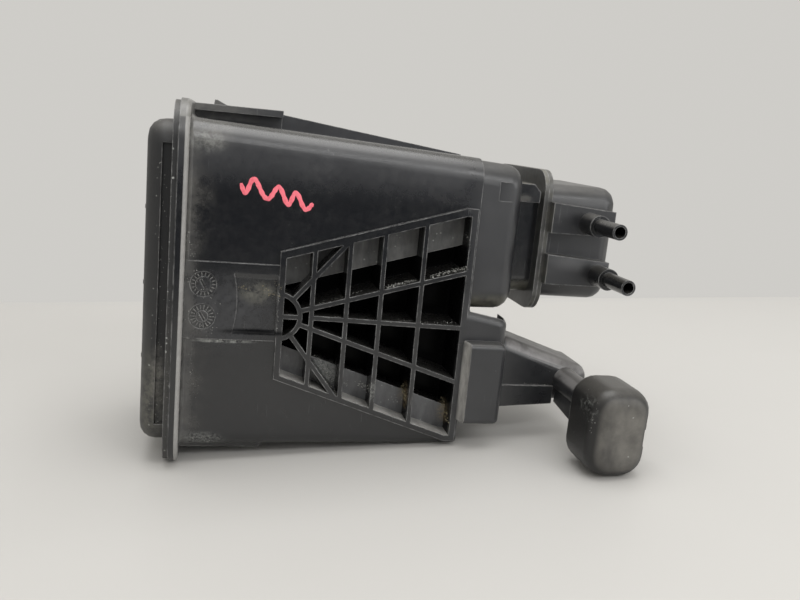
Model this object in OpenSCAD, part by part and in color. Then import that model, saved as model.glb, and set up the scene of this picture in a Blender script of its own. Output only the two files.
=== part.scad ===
// Fuel vapour canister: a welded plastic case with two charcoal chambers side by side.
// Millimetres. X runs along the case from the end cover to the ports, -Y is the ribbed front, Z is up.
// The origin is on the top rail: at the flange face, mid-depth, on the underside of the rail plate.

/* [Case] */
// Length of the body from the flange face to the end of the rib lattice
case_l = 146; // [135:1:170]
// Depth of the body at the flange
case_w = 100; // [94:1:120]
// Height of the body at the flange
case_h = 166; // [158:1:190]
// Radius of the upper long edges
case_r = 12; // [8:0.5:16]
// Radius of the lower long edges at the flange
under_r = 9; // [7:0.5:12]
// Radius of the lower long edges at the far end
under_end_r = 5; // [4:0.5:9]
// Draft of the top, in degrees
draft = 2.9; // [2:0.1:3.4]
// Draft of the front and the back, in degrees
side_draft = 0.2; // [0.1:0.1:1]
// Draft of the underside, in degrees
under_draft = 1.35; // [0.2:0.05:1.6]
// Rise of the underside at the flange
under_rise = 0.8; // [0.2:0.1:2]
// Wall thickness of the mouldings
wall = 2.5; // [2:0.1:3]
// Height of the wall between the chambers, from mid-height
divide_z = -4.6; // [-7:0.1:-2]
// Thickness of the wall between the chambers
divide_t = 3; // [2:0.1:4]

/* [Weld flange] */
// How far the flange stands out from the body
flange_out = 8.4; // [7:0.1:11]
// Corner radius of the flange
flange_r = 19; // [14:0.5:24]
// Thickness of the flange on the case
flange_t = 5; // [4:0.5:7]
// Rounding of the flange edge on the body side
flange_round = 2.2; // [1:0.1:3]
// Radius of the cove between the flange and the body
cove_r = 3; // [1.5:0.1:4]

/* [End cover] */
// Depth of the domed cover from the weld plane
cover_d = 15; // [12:0.1:18]
// Thickness of the flange on the cover
cover_flange_t = 2.6; // [2:0.1:3.5]
// How far the cover flange stays inside the case flange
cover_inset = 1; // [0.5:0.1:2]
// Rounding of the dome edge
cover_round = 8; // [5:0.5:9]
// Length of the side groove of the dome
cover_groove_l = 140; // [110:1:146]
// Depth of the side groove of the dome
cover_groove_d = 2; // [0.6:0.1:3]
// How far the dome stays inside the body
dome_inset = 2; // [1:0.1:3]
// Height of the cross ribs on the dome
cover_rib = 0.8; // [0.4:0.1:1.5]
// Thickness of the cross ribs on the dome
cover_rib_t = 2; // [1:0.1:3]
// Distance between the cross ribs on the dome
cover_rib_pitch = 38; // [24:1:50]
// Length of the cross ribs on the dome
cover_rib_l = 68; // [50:1:72]

/* [Rib lattice] */
// Start of the lattice from the flange face
lattice_x = 45.2; // [42:0.1:48]
// Distance of the lattice from the end of the body
lattice_end = 1.5; // [1:0.1:3]
// Height of the lattice centre, from mid-height
lattice_z = -10.7; // [-12:0.1:-8]
// Height of the lattice at its narrow end
lattice_h0 = 65.6; // [58:0.1:72]
// Height of the lattice at its wide end
lattice_h1 = 121.6; // [116:0.1:124]
// How much further the wide end reaches down
lattice_low = 4.4; // [0:0.1:5]
// Length of the straight stretch at the wide end
lattice_flat = 6; // [4:0.5:9]
// How far the lattice stands ahead of the body at the flange
lattice_proud = 2; // [1:0.1:3]
// Thickness of the lattice ribs
rib_t = 2.4; // [1.8:0.1:3]
// Thickness of the lattice frame
frame_t = 3.2; // [2.4:0.1:4]
// Thickness of the frame along the upper edge
top_frame_t = 4.2; // [3:0.1:5]
// Thickness of the frame at the wide end
end_frame_t = 3.4; // [3:0.1:5]
// Distances between the upright ribs, from the hub
rib_pitch = [17.2, 17.6, 17.3, 20.8]; // [14:0.1:22]
// Rise of the outer long ribs from the hub to the wide end
long_rib_rise = 30; // [24:1:36]
// Angles of the upper and lower diagonal ribs, in degrees
diagonal_angle = [49.5, 52.5]; // [44:0.5:58]
// Outer radius of the hub ring
hub_r = 12.8; // [11:0.1:14]
// Widths of the ledges along the upper and lower edges of the lattice
ledge = [20.3, 16.2]; // [12:0.1:22]
// Depth of the ledges, from the front plane
ledge_d = 12.5; // [9:0.5:16]
// Depth of the valley behind the ribs, from the front plane
valley_d = 26; // [20:1:32]

/* [Front pad] */
// Height of the pad
pad_h = 39; // [36:1:44]
// Height of the pad centre, from mid-height
pad_z = -4.3; // [-7:0.1:-2]
// How far the pad stays behind the lattice front
pad_back = 0.8; // [0.4:0.1:1.5]
// Diameter of the insert dials
dial_d = 12.4; // [10:0.1:14]
// Diameters of the dial cores
dial_core_d = [7.7, 6.2]; // [5:0.1:9]
// Length of the pointer slots in the dials
pointer_l = 5; // [3:0.1:6]
// Width of the pointer slots in the dials
pointer_w = 0.9; // [0.5:0.1:1.5]
// Angle of the pointer slots, in degrees
pointer_angle = 60; // [0:5:180]
// Distance of the dials from the flange face
dial_x = 8.8; // [8:0.1:12]
// Distance between the two dials
dial_pitch = 16.2; // [15:0.1:20]
// Depth of the dial recesses
dial_deep = 0.6; // [0.3:0.1:0.9]
// Start of the scoop from the flange face
scoop_x = 25.5; // [24:0.5:30]
// Height of the scoop
scoop_h = 31; // [26:1:33]
// Depth of the scoop
scoop_d = 4; // [2:0.1:5]
// Radius of the bowed end of the scoop
scoop_bow = 60; // [40:1:90]

/* [Top rail] */
// Length of the rail
rail_l = 45; // [36:1:60]
// Width of the rail plate
rail_w = 24; // [20:1:32]
// Thickness of the rail plate
rail_t = 3.5; // [3:0.1:5]
// Height of the slot under the rail plate at the flange
rail_gap = 3.7; // [3:0.1:5]
// Thickness of the rail web
rail_web = 8; // [5:0.5:10]
// Distance of the snap nub from the flange face
nub_x = 9.3; // [6:0.1:14]
// Length of the snap nub
nub_l = 7.2; // [5:0.1:10]
// Length of the flat crest of the snap nub
nub_crest = 1.2; // [0.8:0.1:2]
// Height of the snap nub
nub_h = 2.5; // [1.5:0.1:3.5]
// Thickness of the long rib behind the rail
top_rib_t = 3; // [2:0.1:4]

/* [Underside feet] */
// End of the two feet from the flange face
foot_l = 42; // [30:1:60]
// Height of the feet at the flange
foot_h = 1.8; // [1.2:0.1:3]
// Thickness of the feet
foot_t = 4; // [3:0.1:6]
// Distance of the outer face of each foot from mid-depth
foot_y = 42; // [34:0.5:43]

/* [Upper end] */
// Length of the upper end past the lattice
upper_l = 24.2; // [20:0.1:28]
// Step from the body down to the upper end
end_step = 0.8; // [0.4:0.1:1.5]
// Rounding of the upper end
end_round = 8; // [5:0.5:10]
// Length of the neck between the upper end and the port flange
neck_l = 13.3; // [12:0.1:18]
// Depth of the neck
neck_w = 68; // [60:1:72]
// Height of the neck
neck_h = 60; // [56:1:62]
// Depth of the port flange
port_flange_w = 82; // [80:1:90]
// Height of the port flange
port_flange_h = 77; // [74:1:80]
// Corner radius of the port flange
port_flange_r = 12; // [8:0.5:16]
// Thickness of each of the two port flanges
port_flange_t = 2.3; // [2:0.1:3.5]
// How far the ports sit below the middle of the upper end
port_drop = 1.3; // [0.5:0.1:3]
// Height of the lug on the neck
lug_h = 9.6; // [8:0.1:12]
// Bevel at the top of the lug
lug_bevel = 3.8; // [2:0.1:5]
// Length of the lug past the upper end
lug_l = 11.3; // [9:0.1:12]
// Length of the relief beside the lug
lug_relief_l = 14.3; // [8:0.1:16]
// How far the lug stands ahead of the neck
lug_out = 6; // [4:0.5:7]
// Depth of the relief beside the lug
lug_relief_d = 1.6; // [0.8:0.1:2]

/* [Port cap] */
// Length of the cap dome
cap_l = 40.3; // [37:0.1:44]
// Depth of the cap dome
cap_w = 76; // [70:1:78]
// Height of the cap dome
cap_h = 62.6; // [58:0.1:66]
// Corner radius of the cap dome
cap_r = 10; // [7:0.5:12]
// Rounding of the cap end
cap_round = 8; // [5:0.5:10]
// Length of the raised nipple pads
port_pad_l = 36; // [32:0.5:36.5]
// Height of the raised nipple pads at the port flange
port_pad_h = 16.2; // [15:0.1:17]
// Fall of the top of the nipple pads along their length
port_pad_fall = 2.6; // [1:0.1:3]
// Height of each nipple above the foot of its pad
port_pad_foot = 6.5; // [6:0.1:8]
// How far the nipple pads stand ahead of the dome
port_pad_out = 8; // [6:0.5:10]
// Distances of the nipples from the port flange
nipple_x = [20.4, 29.3]; // [12:0.1:30]
// Heights of the nipples from the middle of the cap
nipple_z = [12.4, -15.3]; // [-18:0.1:14]
// Outer diameter of the nipples
nipple_d = 8; // [6:0.1:9]
// Bore of the nipples
nipple_bore = 5.8; // [4:0.1:6.4]
// Length of the nipples ahead of their collars
nipple_l = 22; // [16:0.5:28]
// Diameter of the collars
collar_d = 11.6; // [10:0.1:13]
// Length of the collars
collar_l = 14; // [10:0.5:18]

/* [Lower end] */
// Length of the lower end past the lattice
end_l = 22.4; // [18:0.1:24]
// Height of the block's front plate above the wall between the chambers
block_up = 2.7; // [0.5:0.1:3.5]
// Height of the lower end block with its front plate
block_h = 61.7; // [58:0.1:66]
// Height of the front plate above the closed part of the block
block_top_h = 17.4; // [12:0.1:20]
// Length of the side plate at the end of the front plate
side_plate_l = 14; // [8:0.5:18]
// Distance of the rear of the block from mid-depth
block_rear = 8; // [4:0.5:20]
// How far the lower part of the block stands ahead of the lattice front
block_out = 8; // [5:0.5:10]
// Drop of the top of the block along its length
block_fall = 4; // [2:0.5:6]
// Rounding of the block edges
block_r = 6; // [4:0.5:8]
// Length of the bevel at the left of the bolder part
block_bevel = 2.2; // [1:0.1:4]

/* [Vent duct] */
// Length of the duct past the block
duct_l = 52.6; // [50:0.1:58]
// Depth of the duct
duct_w = 38; // [32:1:44]
// How far the duct face stays behind the lattice front
duct_back = 4; // [2:0.5:8]
// Top of the duct below the top of the block
duct_top = 15.6; // [14:0.1:18]
// Bottom of the duct above the bottom of the block
duct_foot = 7; // [6:0.5:12]
// Fall of the duct top, in degrees
duct_fall = 18.5; // [15:0.5:19]
// Rise of the duct bottom, in degrees
duct_rise = 4.5; // [2:0.5:5]
// Rounding of the duct edges
duct_r = 8; // [5:0.5:9]
// Height of the ledge along the duct foot
duct_ledge_h = 12.5; // [8:0.5:15]
// How far the ledge stands out
duct_ledge = 1.5; // [0.8:0.1:2.5]

/* [Vent neck and boot] */
// Outer diameter of the vent neck
vent_d = 14; // [12:0.5:18]
// Distance of the vent neck axis from the end of the duct
vent_in = 15; // [12:0.5:18]
// Height of the vent neck axis above the duct bottom
vent_up = 15.6; // [14:0.1:17]
// Distance between the duct face and the boot
vent_reach = 30; // [26:1:40]
// Depth that the boot grips the neck
vent_grip = 9; // [6:0.5:12]
// Width of the boot
boot_w = 31.5; // [28:0.5:38]
// Height of the boot
boot_h = 45.5; // [42:0.5:54]
// Depth of the boot
boot_d = 31; // [27:1:38]
// Wall thickness of the boot
boot_wall = 3; // [2:0.1:4]
// Corner radius of the boot
boot_r = 12; // [9:0.5:13.5]
// Rounding of the boot front
boot_round = 8; // [6:0.5:9]
// How far the boot sits to the right of the neck axis
boot_side = 5.2; // [0:0.1:6]
// How far the middle of the boot sits below the neck axis
boot_drop = 9.1; // [4:0.1:10]
// Height of the side notch of the boot
notch_h = 10; // [7:0.5:13]
// Depth of the foot of the side notch below the middle of the boot
notch_drop = 7; // [3:0.5:9]

/* [Inner pieces] */
// Thickness of the felts
felt_t = 4; // [3:0.5:6]
// Thickness of the grid plates
plate_t = 3; // [2:0.1:4]
// Distance of the grid plates from the flange face
plate_x = 16; // [14:0.5:20]
// Width of the windows of the grid plates
window_w = 8; // [6:0.5:9]
// Distance between the windows of the grid plates
window_pitch = 12; // [11:0.5:14]
// Clearance round felts, plates and charcoal
fit_gap = 0.3; // [0.2:0.05:0.5]
// Wire diameter of the springs
wire_d = 2; // [1.5:0.1:2.5]
// Outer diameter of the springs
spring_d = 26; // [20:1:28]
// Turns of each spring
spring_turns = 4; // [3:1:6]
// Distance between the front and rear springs
spring_pitch = 44; // [36:1:48]
// Clearance at the two ends of the springs
spring_gap = 0.1; // [0.05:0.05:0.3]

/* [Hidden] */

black = [0.09, 0.09, 0.10];
dark_rubber = [0.16, 0.15, 0.14];
charcoal = [0.05, 0.05, 0.05];
felt_grey = [0.80, 0.79, 0.76];
plate_grey = [0.35, 0.36, 0.37];
steel = [0.70, 0.71, 0.73];
foam = [0.30, 0.30, 0.31];

// Points on each rounded corner of a lofted section
corner_steps = 6;
// Sections on each rounded end of a loft
round_steps = 4;
// Small overlap that joins two solids of one moulding
bite = 0.5;

taper = tan(draft);
front_y = -case_w / 2 - lattice_proud;
upper_x = case_l + upper_l;
end_x = case_l + end_l;
rail_z = case_h / 2 + rail_gap;
weld_x = -flange_t;
cover_x = weld_x - cover_d;

// Chamber ends
upper_top = body_top(case_l) - end_step;
upper_bottom = divide_z + bite;
upper_half_w = body_half_w(case_l) - end_step;
block_top = divide_z + block_up;
block_bottom = block_top - block_h;
block_roof = block_top - block_top_h;

// Ports
port_z = (upper_top + upper_bottom) / 2 - port_drop;
neck_x = upper_x + neck_l;
port_x = neck_x + 2 * port_flange_t;
cap_end_x = port_x + cap_l;
lug_z = port_z + neck_h / 2 - lug_h + bite;
port_pad_y = -cap_w / 2 - port_pad_out;
nipple_tip_y = port_pad_y - collar_l - nipple_l;

// Vent duct and boot
duct_y = front_y + duct_back;
duct_end_x = end_x + duct_l;
duct_z0 = block_bottom + duct_foot;
duct_z1 = block_top - duct_top;
vent_x = duct_end_x - vent_in;
vent_z = duct_z0 + vent_up;
boot_back_y = duct_y - vent_reach;
boot_front_y = boot_back_y - boot_d;
boot_x = vent_x + boot_side;
boot_z = vent_z - boot_drop;

// Lattice
lattice_x1 = case_l - lattice_end;
rib_x = [for (i = [0 : len(rib_pitch) - 1]) lattice_x + sum_to(rib_pitch, i)];
valley_y = front_y + valley_d;
valley_x0 = lattice_x + frame_t - bite / 2;
valley_x1 = lattice_x1 - end_frame_t + bite / 2;

// Inner stack
bed_x = plate_x + plate_t + felt_t;
upper_bed_end = upper_x - wall - felt_t;
lower_bed_end = end_x - wall - felt_t;
spring_x0 = cover_x + wall + spring_gap;
spring_x1 = plate_x - spring_gap;
upper_spring_z = divide_z + case_h / 4;
lower_spring_z = divide_z - case_h / 4;

function sum_to(list, last) = last < 0 ? 0 : list[last] + sum_to(list, last - 1);
function body_half_w(x) = case_w / 2 - x * tan(side_draft);
function body_top(x) = case_h / 2 - x * taper;
function body_bottom(x) = under_rise - case_h / 2 + x * tan(under_draft);
function body_under_r(x) = under_r - (under_r - under_end_r) * x / case_l;
function duct_top_z(x) = duct_z1 - (x - end_x) * tan(duct_fall);
function duct_bottom_z(x) = duct_z0 + (x - end_x) * tan(duct_rise);

// Reach of the lattice above and below its centre line
function lattice_share(x) = min(1, (x - lattice_x) / (lattice_x1 - lattice_flat - lattice_x));
function lattice_up(x) = lattice_h0 / 2 + lattice_share(x) * (lattice_h1 - lattice_h0) / 2;
function lattice_down(x) = lattice_up(x) + lattice_share(x) * lattice_low;

// Rounded rectangle from [u0, v0] to [u1, v1], counter-clockwise, with a radius for its top and its bottom
function rounded(u0, u1, v0, v1, top_r, low_r) = [
    for (k = [0 : 3], i = [0 : corner_steps])
        let (a = 90 * k + 90 * i / corner_steps, r = k < 2 ? top_r : low_r)
        [(k == 0 || k == 3 ? u1 - r : u0 + r) + r * cos(a), (k < 2 ? v1 - r : v0 + r) + r * sin(a)]
];

// One loft section: the rounded rectangle stood up at x
function section(x, y0, y1, z0, z1, r) = section2(x, y0, y1, z0, z1, r, r);
function section2(x, y0, y1, z0, z1, top_r, low_r) =
    [for (p = rounded(y0, y1, z0, z1, top_r, low_r)) [x, p.x, p.y]];

// Sections that round a loft over towards x, from a full section that ends r before it
function rounded_end(x, side, y0, y1, z0, z1, corner, r) = [
    for (i = [0 : round_steps])
        let (a = 90 * i / round_steps, in = r * (1 - cos(a)), c = max(corner - in, 1))
        section(x - side * r * (1 - sin(a)), y0 + in, y1 - in, z0 + in, z1 - in, c)
];

// Solid through sections in order of growing x
module loft(sections) {
    n = len(sections[0]);
    m = len(sections);
    points = [for (s = sections) each s];
    sides = [for (i = [0 : m - 2], j = [0 : n - 1])
        let (a = i * n + j, b = i * n + (j + 1) % n)
        each [[a, a + n, b + n], [a, b + n, b]]];
    first = [for (j = [0 : n - 1]) j];
    last = [for (j = [n - 1 : -1 : 0]) (m - 1) * n + j];
    polyhedron(points, concat([first, last], sides), convexity = 6);
}

// Extrudes a profile of [y, z] along X
module along_x(x0, x1) translate([x0, 0, 0]) rotate([90, 0, 90]) linear_extrude(x1 - x0) children();

// Extrudes a profile of [x, z] along Y
module along_y(y0, y1) translate([0, y1, 0]) rotate([90, 0, 0]) linear_extrude(y1 - y0) children();

// Turns a loft along X into one along -Y
module to_front() rotate([0, 0, -90]) children();

// Puts a piece that is drawn about mid-height of the case into the rail's frame
module place() translate([0, 0, -rail_z]) children();

module rounded_plate(x0, x1, y0, y1, z0, z1, r) along_x(x0, x1) polygon(rounded(y0, y1, z0, z1, r, r));

// A bar of width t between two points of the front view
module bar(a, b, t) {
    d = b - a;
    translate(a) rotate(atan2(d.y, d.x)) translate([0, -t / 2]) square([norm(d), t]);
}

// Section of the tapered body at x, shrunk all round by inset, with its corners rounded by a little more
function body_section(inset, x, more) = section2(x, -body_half_w(x) + inset, body_half_w(x) - inset,
    body_bottom(x) + inset, body_top(x) - inset, case_r - inset + more, body_under_r(x) - inset + more);

module body(inset, x0, x1) loft([for (x = [x0, x1]) body_section(inset, x, 0)]);

// Hollow fillet between the flange and the body, sunk a little into both
module flange_cove() {
    loft([for (i = [0 : round_steps])
        let (a = 90 * i / round_steps)
        body_section(cove_r * (sin(a) - 1) + bite / 2, cove_r * (1 - cos(a)) - bite / 2, bite)]);
}

// Front view of the valley behind the ribs, grown by g
module valley_shape(g) {
    top_in = ledge[0] - g;
    low_in = ledge[1] - g;
    x0 = valley_x0 - g;
    x1 = valley_x1 + g;
    translate([0, lattice_z]) polygon([[x0, low_in - lattice_down(valley_x0)],
        [x1, low_in - lattice_down(valley_x1)], [x1, lattice_up(valley_x1) - top_in],
        [x0, lattice_up(valley_x0) - top_in]]);
}

// Room between the ribs: the deep valley and the ledges along its edges, under the frame and grown by g
module valley(g) {
    under = g + bite;
    along_y(front_y - under, valley_y + g) valley_shape(g);
    along_y(front_y - bite, front_y + ledge_d + g)
        lattice_shape(frame_t - under, top_frame_t - under, end_frame_t - under);
}

// Front view of the whole lattice field, shrunk by t on the lower edge and the narrow end
module lattice_shape(t, top_t, end_t) {
    x0 = lattice_x + t;
    x1 = lattice_x1 - end_t;
    knee = lattice_x1 - lattice_flat;
    stops = [x0, knee, x1];
    upper = [for (i = [2 : -1 : 0]) [stops[i], lattice_up(stops[i]) - top_t]];
    lower = [for (x = stops) [x, t - lattice_down(x)]];
    translate([0, lattice_z]) polygon(concat(lower, upper));
}

// Front view of all ribs
module rib_shape() {
    hub = [lattice_x, lattice_z];
    far = [lattice_x1 - end_frame_t / 2, lattice_z - lattice_low / 2];
    middle = [rib_x[0], lattice_z];
    reach = lattice_h1;
    difference() {
        lattice_shape(0, 0, 0);
        lattice_shape(frame_t, top_frame_t, end_frame_t);
    }
    intersection() {
        lattice_shape(bite, bite, bite);
        union() {
            bar(middle, far, rib_t);
            for (x = rib_x) translate([x - rib_t / 2, lattice_z - reach]) square([rib_t, 2 * reach]);
            difference() {
                union() {
                    for (s = [-1, 1]) bar(hub, far + [0, s * long_rib_rise], rib_t);
                    for (a = [diagonal_angle[0], -diagonal_angle[1]])
                        bar(hub, hub + reach * [cos(a), sin(a)], rib_t);
                }
                translate(hub) circle(hub_r - rib_t, $fn = 48);
            }
            difference() {
                translate(hub) circle(hub_r, $fn = 48);
                translate(hub) circle(hub_r - rib_t, $fn = 48);
            }
            bar(hub, hub + [hub_r, 0], rib_t);
        }
    }
}

module lattice() along_y(front_y, valley_y + bite) rib_shape();

// Pad between the flange and the lattice, with dials and scoop
module front_pad() {
    face = front_y + pad_back;
    dial_z = [for (s = [1, -1]) pad_z + s * dial_pitch / 2];
    scoop_r = (scoop_h * scoop_h / 4 + scoop_d * scoop_d) / (2 * scoop_d);
    scoop_z = pad_z - bite * 2;
    bow_in = scoop_h * scoop_h / 8 / scoop_bow + bite;
    difference() {
        along_y(face, -body_half_w(lattice_x) + bite) translate([-bite, pad_z - pad_h / 2])
            square([lattice_x + 2 * bite, pad_h]);
        for (i = [0, 1]) translate([dial_x, face, dial_z[i]]) rotate([90, 0, 0]) difference() {
            cylinder(h = 2 * dial_deep, d = dial_d, center = true, $fn = 48);
            cylinder(h = 3 * dial_deep, d = dial_core_d[i], center = true, $fn = 48);
        }
        for (z = dial_z) translate([dial_x, face, z]) rotate([0, pointer_angle, 0])
            cube([pointer_l, 2 * dial_deep, pointer_w], center = true);
        difference() {
            translate([scoop_x - bow_in, face - scoop_r + scoop_d, scoop_z]) rotate([0, 90, 0])
                cylinder(h = lattice_x - scoop_x + bow_in - bite, r = scoop_r, $fn = 72);
            along_y(face - scoop_r, face + 2 * scoop_d) translate([scoop_x - scoop_bow, scoop_z])
                circle(scoop_bow, $fn = 96);
        }
    }
}

// T-rail on top of the case, with its snap nub and the long rib behind it
module top_rail() {
    foot = body_top(rail_l) - wall / 2;
    plate_top = rail_z + rail_t;
    along_y(-rail_w / 2, rail_w / 2) translate([-bite, rail_z]) square([rail_l + bite, rail_t]);
    along_y(-rail_web / 2, rail_web / 2) translate([-bite, foot])
        square([rail_l + bite, rail_z + bite - foot]);
    along_y(-rail_w / 4, rail_w / 4) translate([nub_x, plate_top - bite])
        polygon([[0, 0], [nub_l, 0], [nub_l, bite], [bite + nub_crest, bite + nub_h], [bite, bite + nub_h]]);
    along_y(-top_rib_t / 2, top_rib_t / 2)
        polygon([[rail_l - bite, foot], [rail_l - bite, plate_top - rail_t / 2],
            [case_l, body_top(case_l) + bite], [case_l, body_top(case_l) - wall / 2]]);
}

// Two low feet under the case, beside its long edges
module under_feet() {
    z0 = body_bottom(0) - foot_h;
    for (y = [-foot_y, foot_y - foot_t]) along_y(y, y + foot_t)
        polygon([[-bite, z0], [foot_l - foot_h, z0], [foot_l, body_bottom(foot_l) + bite / 2],
            [foot_l, body_bottom(foot_l) + wall / 2], [-bite, body_bottom(foot_l) + wall / 2]]);
}

module case_flange() {
    w = case_w / 2 + flange_out;
    h = case_h / 2 + flange_out;
    loft(concat([section(weld_x, -w, w, -h, h, flange_r)],
        rounded_end(0, 1, -w, w, -h, h, flange_r, flange_round)));
}

// End of the upper chamber past the lattice, shrunk all round by inset
module upper_end(inset, x0, x1, round) {
    fall = (x1 - case_l) * taper;
    y = upper_half_w - inset;
    z0 = upper_bottom + inset;
    z1 = upper_top - inset;
    r = case_r - inset;
    loft(concat([section(x0, -y, y, z0, z1, r)],
        rounded_end(x1, 1, -y + fall, y - fall, z0, z1 - fall, r, round)));
}

module port_neck(inset, x0, x1) {
    y = neck_w / 2 - inset;
    z = neck_h / 2 - inset;
    rounded_plate(x0, x1, -y, y, port_z - z, port_z + z, cap_r - inset);
}

module port_flange(x0, x1) {
    y = port_flange_w / 2;
    z = port_flange_h / 2;
    rounded_plate(x0, x1, -y, y, port_z - z, port_z + z, port_flange_r);
}

// Lug that stands on the neck behind a relief in the upper end
module neck_lug() {
    along_y(-neck_w / 2 - lug_out, -neck_w / 2 + bite) translate([upper_x, lug_z])
        polygon([[-wall, 0], [lug_l, 0], [lug_l, lug_h - lug_bevel],
            [lug_l - lug_bevel, lug_h], [-wall, lug_h]]);
}

module lug_relief() {
    along_y(-upper_half_w - bite, -upper_half_w + lug_relief_d) translate([upper_x - lug_relief_l, lug_z])
        square([lug_relief_l + bite, lug_h]);
}

// Rounded box at the lower chamber end, from x0, shrunk all round by inset, with a falling top
module block_body(inset, x0, y0, z1, fall) {
    y1 = block_rear - inset;
    z0 = block_bottom + inset;
    r = max(block_r - inset, 1);
    loft(concat([section(x0, y0, y1, z0, z1, r)],
        rounded_end(end_x - inset, 1, y0, y1, z0, z1 - fall, r, r)));
}

// Room over the closed part of the block, behind the front plate and the side plate
module block_opening() {
    high = block_top_h + bite;
    translate([case_l + bite, front_y + wall, block_roof]) cube([end_l - wall - bite, case_w, high]);
    translate([case_l + bite, front_y + side_plate_l, block_roof]) cube([end_l, case_w, high]);
}

// Bolder lower part on the front of the block, with a bevel from the lattice frame
module block_front() {
    x0 = lattice_x1 - bite;
    y0 = front_y - block_out;
    y1 = front_y + block_r;
    r = block_r / 2;
    loft(concat([section(x0, front_y - bite, y1, block_bottom, block_roof, r),
        section(x0 + block_bevel, y0, y1, block_bottom, block_roof, r)],
        rounded_end(end_x - wall, 1, y0, y1, block_bottom, block_roof, r, r)));
}

module lower_block() {
    difference() {
        block_body(0, case_l - 2 * wall, front_y, block_top, block_fall);
        block_opening();
    }
    block_front();
}

// Duct with a falling top and a rounded end, shrunk all round by inset
module vent_duct(inset) {
    x0 = end_x - 2 * wall + inset / 2;
    x1 = duct_end_x - inset;
    y0 = duct_y + inset;
    y1 = duct_y + duct_w - inset;
    r = duct_r - inset;
    low = duct_bottom_z(x1 - r) + inset;
    high = duct_top_z(x1 - r) - inset;
    near = [for (x = [x0, end_x]) section(x, y0, y1, duct_z0 + inset, duct_z1 - inset, r)];
    loft(concat(near, rounded_end(x1, 1, y0, y1, low, high, r, r)));
}

// Ledge along the foot of the duct, up to the vent neck
module duct_ledge_strip() {
    x0 = end_x - wall;
    x1 = vent_x - vent_d / 2;
    z1 = duct_z0 + duct_ledge_h;
    along_y(duct_y - duct_ledge, duct_y + duct_r)
        polygon([[x0, duct_z0], [x1, duct_bottom_z(x1)], [x1, z1], [x0, z1]]);
}

// Round neck that carries the boot
module vent_neck() {
    translate([vent_x, duct_y + duct_r, vent_z]) rotate([90, 0, 0])
        cylinder(h = vent_reach + vent_grip + duct_r, d = vent_d, $fn = 64);
}

module vent_bore() {
    translate([vent_x, duct_y + duct_w / 2, vent_z]) rotate([90, 0, 0])
        cylinder(h = vent_reach + vent_grip + duct_w, d = vent_d - 2 * wall, $fn = 64);
}

// Thin gusset under the neck
module vent_gusset() {
    z = vent_z - vent_d / 4;
    y0 = boot_back_y + fit_gap;
    y1 = duct_y + bite;
    translate([vent_x - vent_d / 4, 0, 0]) along_x(-wall / 2, wall / 2)
        polygon([[y1, z], [y1, duct_bottom_z(vent_x)], [y0, boot_z - vent_d / 2], [y0, z]]);
}

// Room inside the case, less a clearance g
module upper_room(g) {
    inset = wall + g;
    difference() {
        union() {
            intersection() {
                body(inset, weld_x - bite, case_l - wall + bite);
                translate([weld_x - 1, -case_w, divide_z + divide_t / 2 + g])
                    cube([case_l + end_l, 2 * case_w, case_h]);
            }
            upper_end(inset, case_l - wall - bite, upper_x - inset, end_round - wall);
        }
        valley(inset);
    }
}

module lower_room(g) {
    inset = wall + g;
    difference() {
        union() {
            intersection() {
                body(inset, weld_x - bite, case_l - wall + bite);
                translate([weld_x - 1, -case_w, divide_z - divide_t / 2 - g - case_h])
                    cube([case_l + end_l, 2 * case_w, case_h]);
            }
            block_body(inset, case_l - wall - bite, inset - body_half_w(case_l), block_roof - inset, 0);
        }
        valley(inset);
    }
}

module case() color(black) place() difference() {
    union() {
        difference() {
            union() {
                body(0, weld_x / 2, case_l);
                upper_end(0, case_l - wall, upper_x, end_round);
                lower_block();
            }
            valley(0);
            lug_relief();
        }
        case_flange();
        flange_cove();
        lattice();
        front_pad();
        top_rail();
        under_feet();
        port_neck(0, upper_x - end_round, neck_x);
        neck_lug();
        port_flange(neck_x, neck_x + port_flange_t);
        vent_duct(0);
        duct_ledge_strip();
        vent_neck();
        vent_gusset();
    }
    upper_room(0);
    lower_room(0);
    port_neck(wall, upper_x - wall - bite, port_x);
    vent_duct(wall);
    vent_bore();
}

// Outline of the cover dome, shrunk by inset, out to x
module dome(inset, x, round) {
    y = body_half_w(0) - dome_inset - inset;
    z = body_top(0) - dome_inset - inset;
    r = case_r - inset;
    far = rounded_end(x, -1, -y, y, -z, z, r, round);
    near = section(weld_x + (inset > 0 ? bite : 0), -y, y, -z, z, r);
    loft(concat([for (i = [round_steps : -1 : 0]) far[i]], [near]));
}

// Long grooves in the two sides of the dome, grown by g
module side_grooves(g) {
    groove_w = cover_d - cover_flange_t - cover_round + 2 * bite;
    groove_x = weld_x - cover_flange_t - groove_w / 2 + bite;
    for (s = [-1, 1]) translate([groove_x, s * (body_half_w(0) - dome_inset), 0])
        cube([groove_w + 2 * g, 2 * (cover_groove_d + g), cover_groove_l + 2 * g], center = true);
}

module end_cover() color(black) place() difference() {
    w = case_w / 2 + flange_out - cover_inset;
    h = case_h / 2 + flange_out - cover_inset;
    union() {
        rounded_plate(weld_x - cover_flange_t, weld_x, -w, w, -h, h, flange_r - cover_inset);
        difference() {
            dome(0, cover_x, cover_round);
            side_grooves(0);
        }
        for (k = [-1, 0, 1]) translate([cover_x, 0, k * cover_rib_pitch])
            cube([2 * cover_rib, cover_rib_l, cover_rib_t], center = true);
    }
    difference() {
        dome(wall, cover_x + wall, cover_round - wall);
        side_grooves(wall);
    }
}

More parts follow.
